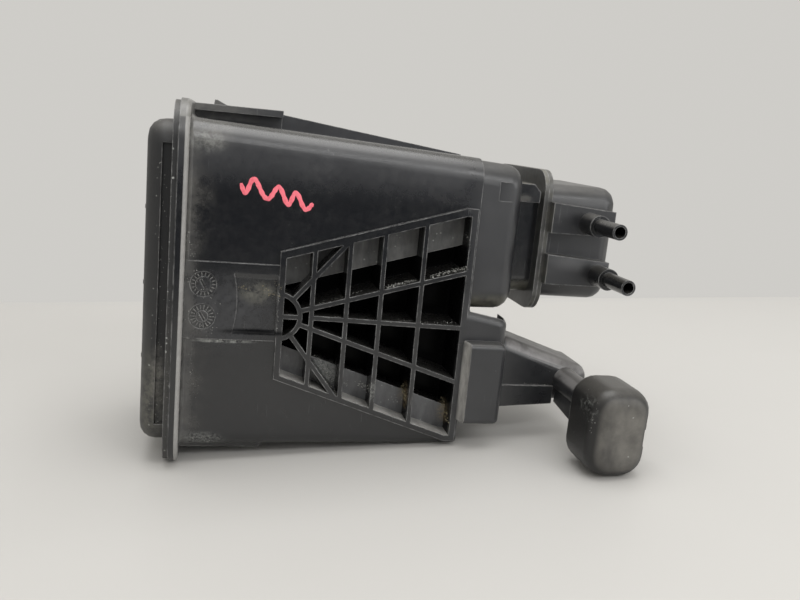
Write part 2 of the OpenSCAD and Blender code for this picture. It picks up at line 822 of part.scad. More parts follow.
module cap_dome(inset, x1, round) {
    y = cap_w / 2 - inset;
    z0 = port_z - cap_h / 2 + inset;
    z1 = port_z + cap_h / 2 - inset;
    r = cap_r - inset;
    x0 = neck_x + port_flange_t - (inset > 0 ? bite : 0);
    loft(concat([section(x0, -y, y, z0, z1, r)], rounded_end(x1, 1, -y, y, z0, z1, r, round)));
}

module nipple(i) {
    translate([port_x + nipple_x[i], port_pad_y + bite, port_z + nipple_z[i]]) rotate([90, 0, 0]) {
        cylinder(h = collar_l + bite, d = collar_d, $fn = 64);
        cylinder(h = collar_l + nipple_l + bite, d = nipple_d, $fn = 64);
    }
}

module nipple_hole(i) {
    translate([port_x + nipple_x[i], -cap_w / 2 + cap_r, port_z + nipple_z[i]]) rotate([90, 0, 0])
        cylinder(h = cap_r + port_pad_out + collar_l + nipple_l + bite, d = nipple_bore, $fn = 64);
}

// Raised pad with a falling top that carries a nipple
module port_pad(i) {
    low_h = port_pad_h - port_pad_fall;
    along_y(port_pad_y, -cap_w / 2 + cap_r)
        translate([port_x - bite, port_z + nipple_z[i] - port_pad_foot])
        polygon([[0, 0], [port_pad_l, 0], [port_pad_l, low_h], [0, port_pad_h]]);
}

// Domed cap with a raised pad for each nipple and a wall between the two inner rooms
module port_cap() color(black) place() {
    split_z = port_z + (nipple_z[0] + nipple_z[1]) / 2;
    difference() {
        union() {
            port_flange(neck_x + port_flange_t, port_x);
            cap_dome(0, cap_end_x, cap_round);
            for (i = [0, 1]) {
                port_pad(i);
                nipple(i);
            }
        }
        difference() {
            cap_dome(wall, cap_end_x - wall, cap_round - wall);
            translate([neck_x, -cap_w, split_z - wall / 2]) cube([2 * cap_l, 2 * cap_w, wall]);
        }
        for (i = [0, 1]) nipple_hole(i);
    }
}

// Boot sections run forward from its back wall
module boot_shape(inset, back, front) {
    u0 = boot_x - boot_w / 2 + inset;
    u1 = boot_x + boot_w / 2 - inset;
    v0 = boot_z - boot_h / 2 + inset;
    v1 = boot_z + boot_h / 2 - inset;
    r = boot_r - inset;
    round = boot_round - inset;
    rear = rounded_end(back, -1, u0, u1, v0, v1, r, round / 2);
    nose = rounded_end(front, 1, u0, u1, v0, v1, r, round);
    to_front() loft(concat([for (i = [round_steps : -1 : 0]) rear[i]], nose));
}

module vent_boot() color(dark_rubber) place() difference() {
    boot_shape(0, -boot_back_y, -boot_front_y);
    boot_shape(boot_wall, -boot_back_y + boot_wall, -boot_front_y - boot_wall);
    translate([vent_x, boot_back_y + bite, vent_z]) rotate([90, 0, 0])
        cylinder(h = vent_grip, d = vent_d + 2 * fit_gap, $fn = 64);
    translate([boot_x + boot_w / 2 - boot_wall - bite, boot_front_y + boot_round / 4, boot_z - notch_drop])
        cube([boot_wall + 2 * bite, boot_d / 2, notch_h]);
}

// Foam ahead of the neck, inside the boot
module vent_filter() color(foam) place()
    boot_shape(boot_wall + fit_gap, -boot_back_y + vent_grip + fit_gap, -boot_front_y - boot_wall - fit_gap);

// A slice of a chamber between two distances along the case
module room_slice(x0, x1) intersection() {
    children();
    translate([x0, -case_w, -case_h]) cube([x1 - x0, 2 * case_w, 2 * case_h]);
}

module upper_carbon_bed() color(charcoal) place() room_slice(bed_x, upper_bed_end) upper_room(fit_gap);
module lower_carbon_bed() color(charcoal) place() room_slice(bed_x, lower_bed_end) lower_room(fit_gap);
module port_felt() color(felt_grey) place() room_slice(upper_bed_end, upper_x) upper_room(fit_gap);
module vent_felt() color(felt_grey) place() room_slice(lower_bed_end, end_x) lower_room(fit_gap);
module upper_cover_felt() color(felt_grey) place() room_slice(plate_x + plate_t, bed_x) upper_room(fit_gap);
module lower_cover_felt() color(felt_grey) place() room_slice(plate_x + plate_t, bed_x) lower_room(fit_gap);

// Windows of a grid plate, in rows centred on z
module windows(z) {
    for (i = [-3 : 3], k = [-2 : 2])
        translate([plate_x + plate_t / 2, i * window_pitch, z + k * window_pitch])
        cube([plate_t + 2 * bite, window_w, window_w], center = true);
}

module upper_grid_plate() color(plate_grey) place() difference() {
    room_slice(plate_x, plate_x + plate_t) upper_room(fit_gap);
    windows(upper_spring_z);
}

module lower_grid_plate() color(plate_grey) place() difference() {
    room_slice(plate_x, plate_x + plate_t) lower_room(fit_gap);
    windows(lower_spring_z);
}

// Coil from the cover to a grid plate
module spring(y, z) {
    sides = 8;
    per_turn = 12;
    last = per_turn * spring_turns;
    wire_r = wire_d / 2;
    coil_r = spring_d / 2 - wire_r;
    x0 = spring_x0 + wire_r;
    run = spring_x1 - wire_r - x0;
    loft([for (i = [0 : last])
        let (a = 360 * i / per_turn, x = x0 + run * i / last)
        [for (j = [0 : sides - 1])
            let (b = 360 * j / sides, r = coil_r - wire_r * sin(b))
            [x + wire_r * cos(b), y + r * cos(a), z + r * sin(a)]]]);
}

module upper_front_spring() color(steel) place() spring(-spring_pitch / 2, upper_spring_z);
module upper_rear_spring() color(steel) place() spring(spring_pitch / 2, upper_spring_z);
module lower_front_spring() color(steel) place() spring(-spring_pitch / 2, lower_spring_z);
module lower_rear_spring() color(steel) place() spring(spring_pitch / 2, lower_spring_z);

case();
end_cover();
port_cap();
vent_boot();
vent_filter();
upper_carbon_bed();
lower_carbon_bed();
port_felt();
vent_felt();
upper_cover_felt();
lower_cover_felt();
upper_grid_plate();
lower_grid_plate();
upper_front_spring();
upper_rear_spring();
lower_front_spring();
lower_rear_spring();
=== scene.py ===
import math
import random

import bmesh
import bpy
from mathutils import Matrix, Vector
from mathutils.bvhtree import BVHTree


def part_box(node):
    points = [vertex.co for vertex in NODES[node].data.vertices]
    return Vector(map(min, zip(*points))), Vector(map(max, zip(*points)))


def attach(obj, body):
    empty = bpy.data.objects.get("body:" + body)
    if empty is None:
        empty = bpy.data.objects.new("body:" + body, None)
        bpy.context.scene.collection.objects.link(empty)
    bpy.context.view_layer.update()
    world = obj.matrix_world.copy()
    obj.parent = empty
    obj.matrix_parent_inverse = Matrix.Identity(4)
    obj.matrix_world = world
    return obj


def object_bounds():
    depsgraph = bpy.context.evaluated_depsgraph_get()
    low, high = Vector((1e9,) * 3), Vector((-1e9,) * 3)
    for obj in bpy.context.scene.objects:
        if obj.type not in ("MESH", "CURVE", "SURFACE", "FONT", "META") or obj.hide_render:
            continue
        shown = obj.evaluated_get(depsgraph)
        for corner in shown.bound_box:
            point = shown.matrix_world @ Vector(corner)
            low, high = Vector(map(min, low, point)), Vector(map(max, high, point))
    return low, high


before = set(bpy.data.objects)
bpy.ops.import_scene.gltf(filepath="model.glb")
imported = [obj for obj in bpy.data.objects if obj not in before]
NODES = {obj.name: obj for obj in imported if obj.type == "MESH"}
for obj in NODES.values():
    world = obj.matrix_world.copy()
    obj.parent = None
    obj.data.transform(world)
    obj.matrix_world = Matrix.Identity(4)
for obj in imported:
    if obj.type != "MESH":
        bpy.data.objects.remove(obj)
cad_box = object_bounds()
CENTRE = (cad_box[0] + cad_box[1]) / 2
MM = 0.001

# Camera in the part's frame, for a picture of 800 x 600 pixels
PICTURE = (800, 600)
EYE = Vector((0.0168, -0.4446, -0.0038))
LOOK = Vector((0.2201, 0.9548, -0.1996)).normalized()
ROUGHLY_UP = Vector((-0.0472, 0.2148, 0.9755))
RIGHT = LOOK.cross(ROUGHLY_UP).normalized()
UP = RIGHT.cross(LOOK)
LENS = 36.0
SENSOR = 36.0
CLIP_START = 0.01
FOCUS = LENS / SENSOR * PICTURE[0]

# Pale surroundings and the dark part of the room, as linear colours
WALL = (0.62, 0.608, 0.58)
TABLE = (0.555, 0.545, 0.526)
TABLE_SHADE = 0.97
ROOM = (0.097, 0.104, 0.120)

# Back edge of the table: its ends in pixels of the picture, and its softness in metres
TABLE_LINE = ((0, 304), (800, 298))
LINE_SOFT = (-0.001, 0.002)

# Floor: its size, and the distances from the part over which it goes over to the backdrop tone
FLOOR_SIZE = 12.0
FLOOR_CUTS = 8
FLOOR_FADE = (0.75, 1.5)
FLOOR_ROUGH = 0.45
FLOOR_GLOSS = 0.2
# The floor's second support is at least this far along the part from its first
SUPPORT_APART = 0.05
# Floor further ahead than this is dark where the part mirrors it
DARK_FLOOR = (-0.28, -0.60)

# Way to the dark part of the room, which the front wall mirrors, and the cosines over which it fades in
DARK_WAY = Vector((0.13, -0.98, -0.06)).normalized()
DARK_FROM = math.cos(math.radians(30))
DARK_FULL = math.cos(math.radians(9))

# Light from all round, and lamps in watts and metres; the upper roundings mirror the tube
FILL = 1.2
SOFTBOX_POWER = 9.0
SOFTBOX_SIZE = (1.0, 1.0)
SOFTBOX_HEIGHT = 1.2
SOFTBOX_SHIFT = Vector((0.08, 0.0, 0.0))
TUBE_POWER = 4.5
TUBE_SIZE = (1.3, 0.14)
TUBE_WAY = Vector((0.15, -0.76, 0.63)).normalized()
TUBE_AWAY = 1.35
SIDE_POWER = 4.5
SIDE_SIZE = (1.1, 0.7)
SIDE_PLACE = Vector((1.0, -0.95, 0.36))

# Edges flatter than the smooth angle are shaded smooth, and faces within the flat angle are one face
SMOOTH_ANGLE = math.radians(33)
FLAT_ANGLE = math.radians(0.3)
EDGE_R = 0.5 * MM
WELD = 0.002 * MM


def link(thing):
    bpy.context.scene.collection.objects.link(thing)
    return thing


def ray_of(px, py):
    """Direction from the eye through a pixel of the picture."""
    x, y = px - PICTURE[0] / 2, PICTURE[1] / 2 - py
    return (LOOK * FOCUS + RIGHT * x + UP * y).normalized()


def tree_of(*names):
    """Search tree over some CAD nodes, for finding points on their surface."""
    points, faces = [], []
    for name in names:
        mesh = NODES[name].data
        start = len(points)
        points += [v.co.copy() for v in mesh.vertices]
        faces += [[start + i for i in p.vertices] for p in mesh.polygons]
    return BVHTree.FromPolygons(points, faces)


OUTSIDE = tree_of("case", "end_cover", "port_cap", "vent_boot")
AHEAD = -0.3


def seen_at(px, py):
    """Point and normal of the part at a pixel of the picture."""
    point, normal, _, _ = OUTSIDE.ray_cast(EYE, ray_of(px, py))
    return point, normal


def front_at(x, z):
    """Point and normal of the part's front, straight ahead of a place given in millimetres."""
    start = Vector((x * MM, AHEAD, z * MM))
    point, normal, _, _ = OUTSIDE.ray_cast(start, Vector((0, 1, 0)))
    return point, normal


# Materials

class Nodes:
    """Builds a shader node tree, a node at a time."""

    def __init__(self, tree):
        self.tree = tree

    def add(self, kind, inputs=None, **settings):
        node = self.tree.nodes.new(kind)
        for key, value in settings.items():
            setattr(node, key, value)
        for key, value in (inputs or {}).items():
            self.put(node.inputs[key], value)
        return node

    def put(self, socket, value):
        if isinstance(value, bpy.types.NodeSocket):
            self.tree.links.new(value, socket)
        else:
            socket.default_value = value

    def math(self, operation, a, b=0.0, clamp=False):
        return self.add("ShaderNodeMath", {0: a, 1: b}, operation=operation, use_clamp=clamp).outputs[0]

    def times(self, *values):
        total = values[0]
        for value in values[1:]:
            total = self.math("MULTIPLY", total, value)
        return total

    def most(self, *values):
        total = values[0]
        for value in values[1:]:
            total = self.math("MAXIMUM", total, value)
        return total

    def vector(self, operation, a, b):
        return self.add("ShaderNodeVectorMath", {0: a, 1: b}, operation=operation).outputs["Vector"]

    def number(self, operation, a, b=(0.0, 0.0, 0.0)):
        """Plain number from an operation on vectors."""
        return self.add("ShaderNodeVectorMath", {0: a, 1: b}, operation=operation).outputs["Value"]

    def band(self, value, low, high, to_low=0.0, to_high=1.0):
        """Smooth step of a value from one range to another."""
        inputs = {"Value": value, "From Min": low, "From Max": high, "To Min": to_low, "To Max": to_high}
        return self.add("ShaderNodeMapRange", inputs, interpolation_type="SMOOTHSTEP").outputs["Result"]

    def mix(self, factor, a, b):
        """Colour a, going over to colour b."""
        colours = [c if isinstance(c, bpy.types.NodeSocket) else (*c, 1.0) for c in (a, b)]
        inputs = {0: factor, 6: colours[0], 7: colours[1]}
        return self.add("ShaderNodeMix", inputs, data_type="RGBA").outputs[2]

    def ray(self, kind):
        """One for rays of a kind, such as Camera or Glossy."""
        return self.add("ShaderNodeLightPath").outputs[f"Is {kind} Ray"]


class Paint(Nodes):
    """A procedural material."""

    def __init__(self, name):
        self.material = bpy.data.materials.new(name)
        self.material.use_nodes = True
        super().__init__(self.material.node_tree)
        self.shader = self.tree.nodes["Principled BSDF"]
        self.place = self.add("ShaderNodeTexCoord").outputs["Object"]
        self.normal = self.add("ShaderNodeNewGeometry").outputs["Normal"]

    def part_of(self, vector, axis):
        return self.add("ShaderNodeSeparateXYZ", {0: vector}).outputs[axis]

    def stretched(self, scale):
        return self.add("ShaderNodeMapping", {"Vector": self.place, "Scale": scale}).outputs[0]

    def noise(self, size, detail=4.0, rough=0.6, stretch=None):
        """Cloud noise with features of about the given size in millimetres."""
        place = self.stretched(stretch) if stretch else self.place
        inputs = {"Vector": place, "Scale": 1 / (size * MM), "Detail": detail, "Roughness": rough}
        return self.add("ShaderNodeTexNoise", inputs).outputs["Fac"]

    def wander(self, size, reach):
        """Small wandering offset, with its grain and its reach in millimetres."""
        inputs = {"Vector": self.place, "Scale": 1 / (size * MM), "Detail": 2.0}
        noise = self.add("ShaderNodeTexNoise", inputs).outputs["Color"]
        middle = self.vector("SUBTRACT", noise, (0.5, 0.5, 0.5))
        return self.vector("MULTIPLY", middle, (2 * reach * MM,) * 3)

    def specks(self, size, share, widest):
        """Ragged specks in a share of the cells of the given size, up to a share of the cell wide."""
        ragged = self.vector("ADD", self.place, self.wander(size * 0.25, size * 0.12))
        cells = self.add("ShaderNodeTexVoronoi", {"Vector": ragged, "Scale": 1 / (size * MM)})
        tint = self.add("ShaderNodeSeparateColor", {0: cells.outputs["Color"]})
        reach = self.times(tint.outputs[1], tint.outputs[1], widest)
        dot = self.band(cells.outputs["Distance"], reach, self.times(reach, 0.5))
        return self.times(dot, self.math("LESS_THAN", tint.outputs[0], share))

    def near(self, centre, reach):
        """One at a place, falling to nothing at its reach, both in metres."""
        away = self.vector("SUBTRACT", self.place, tuple(centre))
        scaled = self.vector("MULTIPLY", away, tuple(1 / r for r in reach))
        return self.band(self.number("LENGTH", scaled), 1.0, 0.25)

    def around(self, pixel, reach):
        """One at the part's surface at a pixel, falling to nothing at its reach in millimetres."""
        return self.near(seen_at(*pixel)[0], [r * MM for r in reach])

    def rounded(self, radius):
        """Normal that rounds the edges over the given radius."""
        return self.add("ShaderNodeBevel", {"Radius": radius}, samples=4).outputs[0]

    def edges(self, reach):
        """Mask of the outward edges, found from inside the part."""
        inside = self.add("ShaderNodeAmbientOcclusion", {"Distance": reach}, samples=4, inside=True,
                          only_local=True)
        return self.band(inside.outputs["AO"], 0.96, 0.66)

    def bump(self, height, distance, strength=1.0, rounded=None):
        inputs = {"Height": height, "Distance": distance, "Strength": strength}
        if rounded:
            inputs["Normal"] = rounded
        self.put(self.shader.inputs["Normal"], self.add("ShaderNodeBump", inputs).outputs[0])

    def finish(self, colour, roughness, **constants):
        self.put(self.shader.inputs["Base Color"], colour)
        self.put(self.shader.inputs["Roughness"], roughness)
        for name, value in constants.items():
            self.shader.inputs[name.replace("_", " ")].default_value = value
        return self.material


# Colours of the plastic, of what soils it, of the light and shade painted on it, and of the rubber
BLACK_LOW = (0.0036, 0.0040, 0.0050)
BLACK_HIGH = (0.0074, 0.0080, 0.0094)
CELL_BLACK = (0.0045, 0.0046, 0.0050)
HAZE = (0.022, 0.023, 0.026)
# Tint of the pad's dust, and of the painted sheen at the top of the front wall
WALL_DUST_AND_SHEEN = (0.036, 0.037, 0.041)
# Tint of a painted sheen on the port cap's front
CAP_SHEEN_TINT = (0.085, 0.086, 0.090)
COVER_HAZE = (0.024, 0.0225, 0.0195)
DUST = (0.20, 0.19, 0.17)
OLIVE_DUST = (0.125, 0.122, 0.100)
UPPER_LEDGE = (0.120, 0.120, 0.116)
LOWER_LEDGE = (0.118, 0.120, 0.125)
LIP_DUST = (0.50, 0.49, 0.47)
FLANGE_STRIP_DUST_AND_SHEEN = (0.30, 0.295, 0.285)
COVE_DUST = (0.075, 0.074, 0.072)
BLOCK_BEVEL_PALE = (0.46, 0.45, 0.43)
RAIL_DUST = (0.14, 0.138, 0.131)
DUCT_DUST = (0.105, 0.101, 0.101)
DUCT_EDGE_DUST_AND_HIGHLIGHT = (0.19, 0.185, 0.185)
# Tint of the scratches, and of the edge wear that is also a painted highlight on the edges
SCUFF_AND_HIGHLIGHT_TINT = (0.28, 0.28, 0.278)
PALE_SCUFF = (0.36, 0.37, 0.35)
TAN_DIRT = (0.28, 0.22, 0.13)
RUBBER_LOW = (0.008, 0.008, 0.0085)
RUBBER_HIGH = (0.017, 0.0165, 0.016)
RUBBER_DUST = (0.160, 0.152, 0.137)

# Gloss of the plastic, and of the dark cells behind its ribs
GLOSS = 0.8
CELL_GLOSS = 0.05

# Grain of the worn plastic in millimetres, how strongly each kind of soiling shows, and how strongly the
# painted edge highlight shows
CLOUD_SIZE = 28
GRAIN_SIZE = 3.2
FINE_SIZE = 0.35
SPECK_SIZE = 4
FILM = 0.04
SCRATCHES = 0.25
EDGE_SCUFF_AND_HIGHLIGHT = 0.8
SPECKS = 0.75


def worn_plastic(name, dusty, rough, speckled, areas, patches=()):
    """Black moulded plastic with a dust film, pale scuffs and painted highlights on its edges, specks and fine
    scratches.
    """
    p = Paint(name)
    cloud = p.noise(CLOUD_SIZE, 5)
    grain = p.noise(GRAIN_SIZE, 6, 0.7)
    up = p.band(p.part_of(p.normal, 2), 0.3, 0.95)
    settled = p.times(up, p.band(grain, 0.30, 0.75, 0.5, 1.0), dusty)
    film = p.times(p.band(cloud, 0.42, 0.75), p.band(grain, 0.35, 0.75), FILM)
    dust = p.most(settled, film)
    streak = p.noise(1.6, 2, 0.5, (1.0, 1.0, 0.06))
    scratch = p.times(p.band(streak, 0.69, 0.76), p.band(cloud, 0.45, 0.65), SCRATCHES)
    # Edge wear and painted highlight: the outward edges made pale, in patches
    scuffs_and_highlights = p.times(p.edges(EDGE_R), p.band(p.noise(5, 5, 0.7), 0.36, 0.66, 0.15, 1.0), EDGE_SCUFF_AND_HIGHLIGHT)
    bits = p.times(p.specks(SPECK_SIZE, speckled, 0.12), p.band(p.noise(22, 3), 0.36, 0.6), SPECKS)
    colour = p.mix(cloud, BLACK_LOW, BLACK_HIGH)
    coated = dust
    coats, shade = areas(p, grain, cloud)
    for mask, tint in coats:
        colour = p.mix(mask, colour, tint)
        coated = p.most(coated, p.times(mask, 0.5))
    colour = p.mix(dust, colour, DUST)
    colour = p.mix(p.most(scuffs_and_highlights, scratch), colour, SCUFF_AND_HIGHLIGHT_TINT)
    colour = p.mix(bits, colour, PALE_SCUFF)
    gloss = p.shader.inputs["Specular IOR Level"]
    gloss.default_value = GLOSS
    if shade:
        colour = p.mix(shade, colour, CELL_BLACK)
        p.put(gloss, p.band(shade, 0.0, 1.0, GLOSS, CELL_GLOSS))
    for pixel, reach, tint, strength, size in patches:
        mask = p.times(p.around(pixel, reach), p.band(p.noise(size, 6, 0.72), 0.36, 0.66), strength)
        colour = p.mix(mask, colour, tint)
        coated = p.most(coated, mask)
    roughness = p.band(grain, 0.2, 0.8, rough - 0.04, rough + 0.08)
    roughness = p.math("ADD", roughness, p.times(coated, 0.4), clamp=True)
    relief = p.math("ADD", p.times(p.noise(FINE_SIZE, 2), 0.4), p.times(grain, 0.6))
    p.bump(relief, 0.03 * MM, 0.5, p.rounded(EDGE_R))
    return p.finish(colour, roughness)


# Lattice of the front wall: its ends, its ledges, and the slope and place of each long edge, in metres
LATTICE_X = (0.046, 0.1445)
LATTICE_Y = (0.0, -0.005)
LEDGE_Y = -0.0395
CELL_Y = (-0.0515, -0.0475)
UPPER_SLOPE, UPPER_EDGE = 0.299, -0.0842
LOWER_SLOPE, LOWER_EDGE = -0.335, -0.1137
SOFT = 0.5 * MM


def lattice_parts(p):
    """Masks of the ledges behind the ribs, of the upward lip below them and of the dark cells."""
    x, y, z = (p.part_of(p.place, axis) for axis in range(3))
    below = p.math("SUBTRACT", z, p.times(x, UPPER_SLOPE))
    above = p.math("SUBTRACT", z, p.times(x, LOWER_SLOPE))
    within = p.times(p.band(x, LATTICE_X[0] - SOFT, LATTICE_X[0] + SOFT),
                     p.band(x, LATTICE_X[1] + SOFT, LATTICE_X[1] - SOFT),
                     p.band(below, UPPER_EDGE + 2 * MM, UPPER_EDGE + 1 * MM),
                     p.band(above, LOWER_EDGE - 2.5 * MM, LOWER_EDGE - 1.5 * MM), p.band(y, *LATTICE_Y))
    ahead = p.band(p.part_of(p.normal, 1), -0.5, -0.9)
    ledge = p.times(within, ahead, p.band(y, LEDGE_Y - 1 * MM, LEDGE_Y - 0.3 * MM),
                    p.band(y, LEDGE_Y + 1 * MM, LEDGE_Y + 0.3 * MM))
    lip = p.times(within, p.band(p.part_of(p.normal, 2), 0.5, 0.8),
                  p.band(above, LOWER_EDGE + 6 * MM, LOWER_EDGE + 4 * MM),
                  p.band(y, LEDGE_Y + SOFT, LEDGE_Y - SOFT))
    return ledge, lip, p.times(within, p.band(y, *CELL_Y))


# Places on the case, in metres: where a mask starts along an axis, and where it is full
PORT_END = (0.132, 0.150)
UPPER_HALF = (-0.098, -0.092)
LOWER_HALF = (-0.096, -0.100)
LOW_END = (0.1450, 0.1470)
THROAT_IN, THROAT_OUT = (0.1698, 0.1706), (0.1836, 0.1830)
NECK = (0.1702, 0.1712)
NECK_FLANGE = (0.1830, 0.1838)
DUCT = (0.1690, 0.1710)
BEVEL_IN, BEVEL_OUT = (0.1435, 0.1445), (0.152, 0.150)
STRIP_IN, STRIP_OUT = (-0.0023, -0.0019), (0.0001, -0.0002)
COVE_IN, COVE_OUT = (-0.0001, 0.0003), (0.0075, 0.0005)
RAIL_X, RAIL_Z = (0.048, 0.002), (-0.0042, -0.0036)
WALL_FADE = [seen_at(340, py)[0].z for py in (206, 158)]

# Dusty front pad and shaded lip of its scoop: pixel of the picture, and reach in millimetres
PAD = ((226, 312), (34, 6, 26))
SCOOP_LIP = ((256, 332), (26, 12, 2.2))


def case_areas(p, grain, cloud):
    """Haze and dust where the photograph shows them on the case, painted light on its upper front wall, its
    flange strip and its duct's edge, and the shade of its dark cells.
    """
    x, z = p.part_of(p.place, 0), p.part_of(p.place, 2)
    nx, ny, nz = (p.part_of(p.normal, axis) for axis in range(3))
    streaks = p.band(p.noise(6, 5, 0.7, (1.0, 1.0, 0.35)), 0.30, 0.70, 0.45, 1.0)
    patchy = p.band(p.noise(7, 5, 0.65), 0.3, 0.65, 0.35, 1.0)
    ledge, lip, cells = lattice_parts(p)
    high = p.band(z, *UPPER_HALF)
    throat = p.times(p.band(x, *THROAT_IN), p.band(x, *THROAT_OUT), high)
    vent = p.times(p.band(x, *DUCT), p.band(z, *LOWER_HALF))
    haze = p.times(p.band(x, *PORT_END), p.band(cloud, 0.25, 0.75, 0.55, 1.0), p.band(throat, 1.0, 0.0),
                   p.band(vent, 0.0, 1.0, 1.0, 0.6))
    # Painted light: the front wall, away from the port end, made lighter towards its top rounding
    upper_wall_sheen = p.times(p.band(z, *WALL_FADE), p.band(ny, -0.6, -0.9), p.band(x, *reversed(PORT_END)),
                   p.band(cloud, 0.2, 0.8, 0.7, 1.0))
    pad = p.times(p.around(*PAD), p.band(grain, 0.3, 0.7, 0.3, 0.9))
    rail = p.times(p.band(z, *RAIL_Z), p.band(x, *RAIL_X), patchy)
    duct = p.times(vent, p.band(nz, 0.1, 0.5), patchy)
    # Dust and painted highlight along the duct's upper edge
    duct_edge_dust_and_highlight = p.times(vent, p.band(nz, 0.30, 0.50), p.band(nz, 0.90, 0.80), patchy)
    # Dust and painted sheen: a pale strip along the flange's edge
    strip = p.times(p.band(x, *STRIP_IN), p.band(x, *STRIP_OUT), p.band(grain, 0.2, 0.7, 0.75, 1.0))
    cove = p.times(p.band(x, *COVE_IN), p.band(x, *COVE_OUT), patchy)
    low_end = p.times(p.band(x, *LOW_END), high, p.band(nz, -0.10, -0.60), patchy)
    neck_sides = p.most(p.band(nz, 0.15, 0.5), p.band(nz, -0.15, -0.5), p.times(p.band(x, *NECK_FLANGE), 0.35))
    neck = p.times(p.band(x, *NECK), high, patchy, neck_sides)
    # The block's left bevel made paler in streaks
    bevel = p.times(p.band(x, *BEVEL_IN), p.band(x, *BEVEL_OUT), p.band(nx, -0.35, -0.6),
                    p.band(z, *LOWER_HALF), streaks)
    crust = p.times(p.most(ledge, lip), p.specks(1.8, 0.6, 0.34), p.band(grain, 0.35, 0.6), 0.8)
    coats = ((pad, WALL_DUST_AND_SHEEN), (haze, HAZE), (upper_wall_sheen, WALL_DUST_AND_SHEEN),
             (p.times(ledge, streaks), p.mix(high, LOWER_LEDGE, UPPER_LEDGE)),
             (p.times(lip, streaks), LIP_DUST), (strip, FLANGE_STRIP_DUST_AND_SHEEN), (cove, COVE_DUST),
             (p.most(low_end, neck), OLIVE_DUST), (bevel, BLOCK_BEVEL_PALE), (rail, RAIL_DUST),
             (duct, DUCT_DUST), (duct_edge_dust_and_highlight, DUCT_EDGE_DUST_AND_HIGHLIGHT), (crust, PALE_SCUFF))
    bare = p.math("SUBTRACT", 1.0, p.most(ledge, lip), clamp=True)
    dark = p.times(cells, bare, p.band(nz, 0.10, 0.55, 1.0, 0.45))
    return coats, p.most(dark, p.times(p.around(*SCOOP_LIP), 0.9))


# Port cap, in metres: its front and its flange; in pixels and millimetres: a patch of painted sheen, and the
# nipple roots, round which shade is painted
CAP_FRONT = (-0.0530, -0.0520)
CAP_FLANGE = (0.1884, 0.1879)
CAP_SHEEN_PATCH = ((588, 261), (30, 6, 8.5))
NIPPLE_ROOT_SHADE = (((586, 220), (8, 10, 9)), ((592, 272), (8, 10, 9)))


def port_areas(p, grain, cloud):
    """A haze over the port cap, which its nipples don't have, a painted sheen on its front, painted shade round
    the nipple roots, and dust on its flange.
    """
    x, y = p.part_of(p.place, 0), p.part_of(p.place, 1)
    haze = p.times(p.band(y, *CAP_FRONT), p.band(cloud, 0.2, 0.8, 0.45, 0.9))
    # Painted sheen: a paler patch on the cap's front
    sheen = p.times(p.around(*CAP_SHEEN_PATCH), 0.8)
    rim = p.times(p.band(x, *CAP_FLANGE), p.band(p.noise(7, 5, 0.65), 0.3, 0.65, 0.12, 0.5))
    # Painted shade round the roots of the nipples, in the plastic's darkest tone
    root_shade = p.times(p.most(*(p.around(*root) for root in NIPPLE_ROOT_SHADE)), 0.9)
    return ((haze, HAZE), (sheen, CAP_SHEEN_TINT), (rim, OLIVE_DUST), (root_shade, BLACK_LOW)), None


# Groove of the end cover and the dark upper part of its dome, in metres
GROOVE_TOP, GROOVE_FOOT = (-0.0155, -0.0170), (-0.158, -0.156)
GROOVE_IN, GROOVE_OUT = (-0.0160, -0.0145), (-0.0074, -0.0078)
DOME_X, DOME_Z = (-0.0215, -0.0185), (-0.112, -0.092)


def cover_areas(p, grain, cloud):
    """A warm haze over the end cover, specks on its sides, and the shade of its groove and its upper part."""
    x, z = p.part_of(p.place, 0), p.part_of(p.place, 2)
    haze = p.band(cloud, 0.2, 0.8, 0.35, 0.85)
    groove = p.times(p.band(x, *GROOVE_IN), p.band(x, *GROOVE_OUT), p.band(z, *GROOVE_TOP),
                     p.band(z, *GROOVE_FOOT), 0.85)
    upper = p.times(p.band(x, *DOME_X), p.band(z, *DOME_Z), 0.9)
    sides = p.band(p.part_of(p.normal, 0), -0.75, -0.45)
    bits = p.times(p.specks(2.6, 0.6, 0.30), p.band(p.noise(18, 3), 0.34, 0.56), sides, 0.8)
    return ((haze, COVER_HAZE), (p.most(groove, upper), BLACK_LOW), (bits, PALE_SCUFF)), None


# Dusty middle of the boot's face: shift from the middle of its box, and reach, in metres
BOOT_SHIFT = Vector((0.001, 0.0, 0.002))
BOOT_REACH = (0.030, 0.020, 0.040)
BOOT_SCUFF = ((587, 406), (7, 12, 9))


